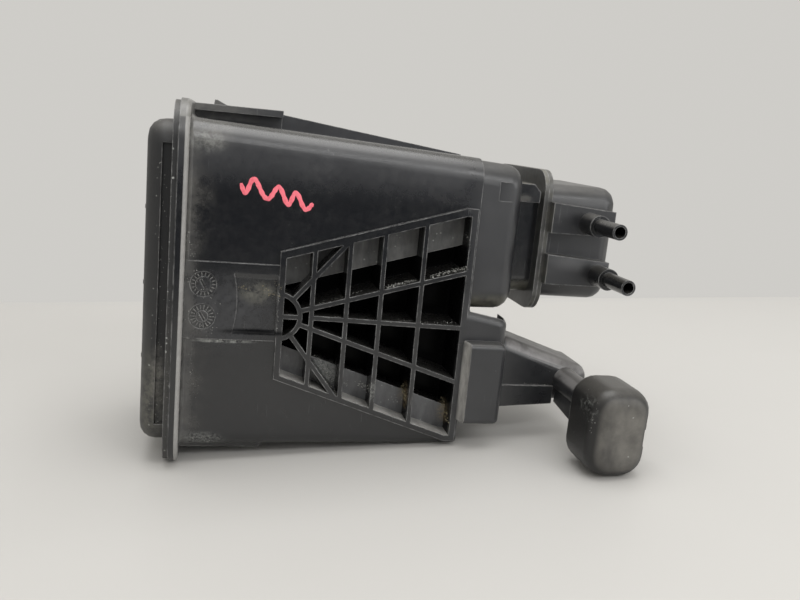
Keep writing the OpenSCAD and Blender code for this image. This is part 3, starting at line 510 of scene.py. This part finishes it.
def boot_rubber():
    """Dark soft rubber with a grey-brown dusty middle."""
    p = Paint("boot_rubber")
    cloud = p.noise(11, 5)
    grain = p.noise(1.4, 6, 0.75)
    low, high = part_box("vent_boot")
    middle = Vector(((low.x + high.x) / 2, low.y, (low.z + high.z) / 2)) + BOOT_SHIFT
    face = p.times(p.near(middle, BOOT_REACH), p.band(p.part_of(p.normal, 1), -0.70, -0.97))
    smear = p.noise(14, 3, 0.5, (1.0, 1.0, 0.5))
    mottle = p.times(p.band(smear, 0.30, 0.62, 0.40, 1.0), p.band(cloud, 0.25, 0.65, 0.55, 1.0))
    dust = p.times(face, mottle, p.band(grain, 0.2, 0.8, 0.85, 1.0))
    settled = p.times(p.band(p.part_of(p.normal, 2), 0.2, 1.0), p.band(grain, 0.25, 0.7, 0.6, 1.0), 0.45)
    scuff = p.times(p.around(*BOOT_SCUFF), p.band(p.noise(2.4, 5, 0.7), 0.48, 0.66), 0.3)
    colour = p.mix(cloud, RUBBER_LOW, RUBBER_HIGH)
    colour = p.mix(p.most(dust, settled), colour, RUBBER_DUST)
    colour = p.mix(p.times(p.specks(3.4, 0.6, 0.16), 0.7), colour, PALE_SCUFF)
    colour = p.mix(scuff, colour, PALE_SCUFF)
    rough = p.math("ADD", p.band(grain, 0.2, 0.8, 0.30, 0.42), p.times(dust, 0.3), clamp=True)
    relief = p.math("ADD", grain, p.times(p.noise(0.4, 2), 0.5))
    p.bump(relief, 0.05 * MM, 0.6, p.rounded(EDGE_R))
    return p.finish(colour, rough)


def grainy(name, dark, light, size, bump, rough, metallic=0.0):
    """Plain two-tone material, with grain of the given size and bumps of the given depth in millimetres."""
    p = Paint(name)
    grain = p.noise(size, 6, 0.7)
    cells = p.add("ShaderNodeTexVoronoi", {"Vector": p.place, "Scale": 1 / (size * 1.4 * MM)})
    height = p.math("ADD", grain, cells.outputs["Distance"])
    p.bump(height, bump * MM, 0.9)
    roughness = p.band(grain, 0.2, 0.8, rough - 0.08, rough + 0.08)
    return p.finish(p.mix(p.band(height, 0.4, 1.2), dark, light), roughness, Metallic=metallic)


# Soiled patches, and one painted highlight: pixel of the picture, reach in millimetres, colour, strength and
# grain in millimetres
CASE_PATCHES = (
    ((200, 128), (20, 15, 15), DUST, 0.55, 16),
    ((207, 140), (12, 12, 8), PALE_SCUFF, 0.45, 2.6),
    ((190, 205), (15, 10, 36), DUST, 0.26, 12),
    ((190, 320), (15, 10, 36), DUST, 0.14, 10),
    ((188, 400), (13, 10, 36), DUST, 0.13, 9),
    # Painted highlight along the lower edge of the front pad
    ((222, 341), (20, 8, 1.3), PALE_SCUFF, 0.9, 4),
    ((522, 199), (7, 8, 4), DUST, 0.5, 20),
    ((258, 293), (13, 8, 8), OLIVE_DUST, 0.75, 4),
    ((405, 395), (5, 9, 10), TAN_DIRT, 0.8, 2.2),
    ((443, 410), (5, 9, 9), TAN_DIRT, 0.8, 2.2),
    ((325, 372), (11, 12, 11), PALE_SCUFF, 0.75, 1.5),
    ((372, 390), (12, 12, 7), PALE_SCUFF, 0.35, 1.3),
    ((200, 439), (16, 9, 6), PALE_SCUFF, 0.35, 1.3),
)
COVER_PATCHES = (
    ((152, 400), (9, 20, 34), OLIVE_DUST, 0.7, 4),
    ((157, 376), (4, 12, 20), DUST, 0.8, 3.5),
)

LOOKS = {
    "case": worn_plastic("case_plastic", 0.22, 0.20, 0.25, case_areas, CASE_PATCHES),
    "end_cover": worn_plastic("cover_plastic", 0.45, 0.32, 0.3, cover_areas, COVER_PATCHES),
    "port_cap": worn_plastic("port_plastic", 0.35, 0.20, 0.25, port_areas),
    "vent_boot": boot_rubber(),
    "vent_filter": grainy("filter_foam", (0.02, 0.02, 0.021), (0.075, 0.075, 0.078), 1.1, 0.5, 0.9),
}

# Looks of the inner pieces, by a word in their names
INNER_LOOKS = {
    "carbon": grainy("charcoal", (0.004, 0.004, 0.004), (0.03, 0.03, 0.03), 2.0, 0.9, 0.8),
    "felt": grainy("felt", (0.42, 0.41, 0.38), (0.62, 0.61, 0.57), 0.6, 0.25, 0.95),
    "grid_plate": grainy("plate_plastic", (0.085, 0.087, 0.09), (0.12, 0.123, 0.127), 0.8, 0.04, 0.5),
    "spring": grainy("spring_steel", (0.46, 0.47, 0.49), (0.60, 0.61, 0.62), 0.5, 0.02, 0.3, 1.0),
}
for node_name in NODES:
    for word, paint in INNER_LOOKS.items():
        if word in node_name:
            LOOKS[node_name] = paint


# Shading of the CAD nodes

def smooth_by_angle():
    """Node group that smooths every edge flatter than the smooth angle."""
    group = bpy.data.node_groups.new("smooth_by_angle", "GeometryNodeTree")
    for way in ("INPUT", "OUTPUT"):
        group.interface.new_socket("Geometry", in_out=way, socket_type="NodeSocketGeometry")
    entry = group.nodes.new("NodeGroupInput")
    leave = group.nodes.new("NodeGroupOutput")
    faces = group.nodes.new("GeometryNodeSetShadeSmooth")
    edges = group.nodes.new("GeometryNodeSetShadeSmooth")
    edges.domain = "EDGE"
    angle = group.nodes.new("GeometryNodeInputMeshEdgeAngle")
    flat = group.nodes.new("FunctionNodeCompare")
    flat.operation = "LESS_THAN"
    flat.inputs[1].default_value = SMOOTH_ANGLE
    joins = [(entry.outputs[0], faces.inputs[0]), (faces.outputs[0], edges.inputs[0]),
             (angle.outputs[0], flat.inputs[0]), (flat.outputs[0], edges.inputs["Shade Smooth"]),
             (edges.outputs[0], leave.inputs[0])]
    for a, b in joins:
        group.links.new(a, b)
    return group


SMOOTHER = smooth_by_angle()


def dress(node_name, paint):
    """Gives a CAD node its material and its smooth shading."""
    piece = NODES[node_name]
    piece.data.materials.clear()
    piece.data.materials.append(paint)
    weld = piece.modifiers.new("weld", "WELD")
    weld.merge_threshold = WELD
    flats = piece.modifiers.new("flats", "DECIMATE")
    flats.decimate_type = "DISSOLVE"
    flats.angle_limit = FLAT_ANGLE
    smooth = piece.modifiers.new("smooth", "NODES")
    smooth.node_group = SMOOTHER
    even = piece.modifiers.new("even", "WEIGHTED_NORMAL")
    even.keep_sharp = True


for node_name, paint in LOOKS.items():
    dress(node_name, paint)


# Small pieces

def mesh_piece(name, bm, paint):
    mesh = bpy.data.meshes.new(name)
    bm.to_mesh(mesh)
    bm.free()
    mesh.materials.append(paint)
    piece = link(bpy.data.objects.new(name, mesh))
    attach(piece, "root")
    return piece


# Marker stroke: its start, run and swing in pixels of the picture, and how it narrows at its ends
MARK_START = (241, 183)
MARK_RUN = (72, 22)
MARK_SWING = (8.5, 6.5)
MARK_WAVES = 3.5
MARK_STEPS = 150
MARK_WIDTH = 2.2 * MM
MARK_TIP = 0.5
MARK_TIP_STEPS = 6
# Cross-section of the marker stroke: share of its half width, and its height
MARK_PROFILE = ((-1.0, 0.01 * MM), (-0.8, 0.07 * MM), (0.0, 0.09 * MM), (0.8, 0.07 * MM), (1.0, 0.01 * MM))


def scribble():
    """A loose wavy stroke of marker paint on the front wall."""
    spots = []
    for i in range(MARK_STEPS + 1):
        t = i / MARK_STEPS
        wave = math.sin(2 * math.pi * (MARK_WAVES * t + 0.1 * math.sin(9 * t)))
        swing = MARK_SWING[0] + (MARK_SWING[1] - MARK_SWING[0]) * t
        spots.append(seen_at(MARK_START[0] + MARK_RUN[0] * t, MARK_START[1] + MARK_RUN[1] * t + swing * wave))
    bm = bmesh.new()
    rows = []
    for i, (at, normal) in enumerate(spots):
        way = spots[min(i + 1, MARK_STEPS)][0] - spots[max(i - 1, 0)][0]
        side = way.cross(normal).normalized()
        tip = min(1.0, MARK_TIP + min(i, MARK_STEPS - i) / MARK_TIP_STEPS)
        half = MARK_WIDTH / 2 * tip * (1 + 0.12 * math.sin(0.9 * i))
        rows.append([bm.verts.new(at + side * half * u + normal * lift) for u, lift in MARK_PROFILE])
    for a, b in zip(rows, rows[1:]):
        for k in range(len(a) - 1):
            bm.faces.new((a[k], b[k], b[k + 1], a[k + 1]))
    bm.normal_update()
    bm.faces.ensure_lookup_table()
    if bm.faces[0].normal.dot(spots[0][1]) < 0:
        bmesh.ops.reverse_faces(bm, faces=bm.faces)
    for face in bm.faces:
        face.smooth = True
    paint = grainy("marker_paint", (0.80, 0.125, 0.17), (0.92, 0.19, 0.24), 1.5, 0.02, 0.55)
    mesh_piece("marker_stroke", bm, paint)


# Dials of the front pad, in millimetres: distance from the flange, then height and core radius of each
DIAL_X = 8.8
DIALS = ((-82.9, 3.85), (-99.1, 3.1))
DIAL_TICKS = 18
TICK_GAP = 0.35
TICK_REACH = 5.8
TICK_WIDTH = 0.5
TICK_LIFT = 0.2


def dial_ticks():
    """Raised ticks round the cores of the two dials."""
    bm = bmesh.new()
    for height, core in DIALS:
        inner = core + TICK_GAP
        middle = (inner + TICK_REACH) / 2
        size = Matrix.Diagonal((TICK_REACH - inner, TICK_WIDTH, TICK_WIDTH, 1.0))
        for k in range(DIAL_TICKS):
            turn = 2 * math.pi * k / DIAL_TICKS
            at, normal = front_at(DIAL_X + middle * math.cos(turn), height + middle * math.sin(turn))
            place = Matrix.Translation(at + normal * TICK_LIFT * MM) @ Matrix.Rotation(-turn, 4, "Y") @ size
            bmesh.ops.create_cube(bm, size=MM, matrix=place)
    paint = grainy("dial_dust", (0.03, 0.03, 0.031), (0.17, 0.17, 0.165), 0.7, 0.03, 0.6)
    mesh_piece("dial_ticks", bm, paint)


# Strips of crumbs: ends and spread in pixels of the picture, count, smallest and largest radius in millimetres
PALE_CRUMBS = (
    ((431, 276), (466, 268), 1.6, 110, 0.12, 0.42), ((456, 269), (468, 266), 1.0, 10, 0.10, 0.25),
    ((387, 287), (416, 280), 1.5, 80, 0.12, 0.38), ((352, 294), (362, 291), 1.0, 9, 0.10, 0.25),
    ((317, 304), (342, 296), 1.5, 16, 0.08, 0.22), ((391, 322), (412, 320), 1.5, 16, 0.08, 0.24),
    ((420, 323), (455, 322), 2.0, 26, 0.08, 0.26), ((326, 318), (342, 317), 1.0, 12, 0.08, 0.20),
    ((315, 355), (333, 383), 5.0, 110, 0.10, 0.34), ((346, 383), (351, 386), 2.5, 10, 0.08, 0.22),
    ((359, 382), (369, 391), 3.0, 34, 0.12, 0.36), ((388, 396), (402, 400), 3.0, 16, 0.08, 0.22),
    ((466, 230), (470, 250), 1.5, 16, 0.10, 0.26), ((279, 293), (277, 330), 1.5, 18, 0.08, 0.20),
    ((184, 338), (250, 341), 0.8, 22, 0.08, 0.18), ((192, 438), (212, 442), 2.0, 14, 0.08, 0.24),
    ((195, 270), (188, 230), 3.0, 26, 0.08, 0.24), ((188, 350), (196, 395), 5.0, 18, 0.08, 0.28),
    ((191, 276), (216, 303), 9.0, 46, 0.07, 0.20), ((191, 312), (213, 332), 8.0, 40, 0.07, 0.20),
    ((163, 160), (157, 430), 4.0, 70, 0.08, 0.24), ((171, 190), (166, 440), 1.0, 34, 0.07, 0.18),
    ((522, 383), (548, 385), 1.2, 14, 0.10, 0.24), ((597, 398), (590, 432), 3.0, 14, 0.08, 0.22),
)
TAN_CRUMBS = (
    ((402, 385), (406, 401), 1.8, 46, 0.16, 0.50), ((441, 397), (449, 428), 2.2, 50, 0.14, 0.48),
    ((238, 286), (250, 290), 3.0, 18, 0.10, 0.28), ((264, 288), (279, 298), 3.5, 30, 0.10, 0.30),
    ((274, 281), (282, 289), 2.0, 12, 0.10, 0.26),
)
PALE_SEED = 11
TAN_SEED = 12
# Height of a crumb's middle and unevenness of its corners, as shares of its radius
CRUMB_LIFT = 0.3
CRUMB_UNEVEN = 0.35


def crumb(bm, rng, at, normal, radius):
    """One irregular crumb that sits in the surface under it."""
    axis = Vector([rng.uniform(-1, 1) for _ in range(3)]).normalized()
    place = Matrix.Translation(at + normal * radius * CRUMB_LIFT) @ Matrix.Rotation(rng.uniform(0, 6), 4, axis)
    made = bmesh.ops.create_icosphere(bm, subdivisions=1, radius=radius, matrix=place)
    for v in made["verts"]:
        v.co += Vector([rng.uniform(-1, 1) for _ in range(3)]) * radius * CRUMB_UNEVEN


def crumbs(name, strips, paint, seed):
    """Crumbs of dirt along strips of the picture, each on the surface that shows there."""
    rng = random.Random(seed)
    bm = bmesh.new()
    for (x0, y0), (x1, y1), spread, count, least, most in strips:
        for _ in range(count):
            t = rng.random()
            px = x0 + (x1 - x0) * t + rng.gauss(0, spread / 2)
            py = y0 + (y1 - y0) * t + rng.gauss(0, spread / 2)
            radius = (least + (most - least) * rng.random() ** 2) * MM
            at, normal = seen_at(px, py)
            if at is not None:
                crumb(bm, rng, at, normal, radius)
    mesh_piece(name, bm, paint)


scribble()
dial_ticks()
pale_dirt = grainy("pale_dirt", (0.22, 0.22, 0.20), (0.52, 0.52, 0.49), 0.6, 0.05, 0.8)
tan_dirt = grainy("tan_dirt", (0.10, 0.085, 0.05), (0.30, 0.26, 0.17), 0.6, 0.05, 0.85)
crumbs("pale_crumbs", PALE_CRUMBS, pale_dirt, PALE_SEED)
crumbs("tan_crumbs", TAN_CRUMBS, tan_dirt, TAN_SEED)


# Stage, light and camera

def floor_frame():
    """Point and upward normal of the floor: it carries the flange and the next lowest point."""
    points = [v.co for name in ("case", "vent_boot") for v in NODES[name].data.vertices]
    foot = min(points, key=lambda p: p.z)
    far = [p for p in points if p.x > foot.x + SUPPORT_APART]
    rise = min((p.z - foot.z) / (p.x - foot.x) for p in far)
    return Vector((foot.x, 0, foot.z)), Vector((-rise, 0, 1)).normalized()


FLOOR_AT, FLOOR_UP = floor_frame()


def floor_paint():
    """Pale floor that takes the shadow, and goes over to the backdrop tone behind and far from the part."""
    p = Paint("floor")
    left, right = (ray_of(*end) for end in TABLE_LINE)
    above = right.cross(left).normalized()
    height = p.math("SUBTRACT", p.number("DOT_PRODUCT", p.place, above), above.dot(EYE))
    away = p.number("DISTANCE", p.place, CENTRE)
    beyond = p.most(p.band(height, *LINE_SOFT), p.band(away, *FLOOR_FADE))
    mirrored = p.band(p.part_of(p.place, 1), *DARK_FLOOR)
    p.bump(p.noise(2, 3), 0.02 * MM, 0.3)
    p.finish(p.mix(p.noise(90, 3), TABLE, tuple(TABLE_SHADE * c for c in TABLE)), FLOOR_ROUGH,
             Specular_IOR_Level=FLOOR_GLOSS)
    surface = p.shader.outputs[0]
    for where, kind, tone in ((beyond, "Camera", WALL), (mirrored, "Glossy", ROOM)):
        glow = p.add("ShaderNodeEmission", {"Color": (*tone, 1.0), "Strength": 1.0}).outputs[0]
        surface = p.add("ShaderNodeMixShader", {0: p.times(where, p.ray(kind)), 1: surface, 2: glow}).outputs[0]
    p.put(p.tree.nodes["Material Output"].inputs["Surface"], surface)
    return p.material


def make_floor():
    bm = bmesh.new()
    bmesh.ops.create_grid(bm, x_segments=FLOOR_CUTS, y_segments=FLOOR_CUTS, size=FLOOR_SIZE / 2)
    turn = Vector((0, 0, 1)).rotation_difference(FLOOR_UP).to_matrix().to_4x4()
    bmesh.ops.transform(bm, matrix=Matrix.Translation(FLOOR_AT) @ turn, verts=bm.verts)
    mesh = bpy.data.meshes.new("floor")
    bm.to_mesh(mesh)
    bm.free()
    mesh.materials.append(floor_paint())
    link(bpy.data.objects.new("floor", mesh))


def make_world():
    """Pale backdrop, with a dark part of the room in front that only the part mirrors."""
    world = bpy.data.worlds.new("studio")
    bpy.context.scene.world = world
    world.use_nodes = True
    w = Nodes(world.node_tree)
    way = w.add("ShaderNodeTexCoord").outputs["Generated"]
    dark = w.band(w.number("DOT_PRODUCT", way, DARK_WAY), DARK_FROM, DARK_FULL)
    mirrored = w.math("SUBTRACT", dark, w.ray("Camera"), clamp=True)
    direct = w.most(w.ray("Camera"), w.ray("Glossy"), w.ray("Transmission"))
    background = w.tree.nodes["Background"]
    w.put(background.inputs["Color"], w.mix(mirrored, WALL, ROOM))
    w.put(background.inputs["Strength"], w.band(direct, 0.0, 1.0, FILL, 1.0))


def area_light(name, place, power, size):
    """Rectangular lamp that points at the middle of the part."""
    lamp = bpy.data.lights.new(name, "AREA")
    lamp.energy = power
    lamp.shape = "RECTANGLE"
    lamp.size, lamp.size_y = size
    light = link(bpy.data.objects.new(name, lamp))
    light.location = place
    light.rotation_mode = "QUATERNION"
    light.rotation_quaternion = (CENTRE - place).to_track_quat("-Z", "Y")


def make_lights():
    area_light("softbox", CENTRE + FLOOR_UP * SOFTBOX_HEIGHT + SOFTBOX_SHIFT, SOFTBOX_POWER, SOFTBOX_SIZE)
    area_light("tube", CENTRE + TUBE_WAY * TUBE_AWAY, TUBE_POWER, TUBE_SIZE)
    area_light("side_fill", CENTRE + SIDE_PLACE, SIDE_POWER, SIDE_SIZE)


def make_camera():
    data = bpy.data.cameras.new("camera")
    data.lens = LENS
    data.sensor_width = SENSOR
    data.clip_start = CLIP_START
    camera = link(bpy.data.objects.new("camera", data))
    camera.matrix_world = Matrix((RIGHT, UP, -LOOK)).transposed().to_4x4()
    camera.location = EYE
    bpy.context.scene.camera = camera


make_floor()
make_world()
make_lights()
make_camera()
bpy.context.scene.view_settings.view_transform = "Standard"
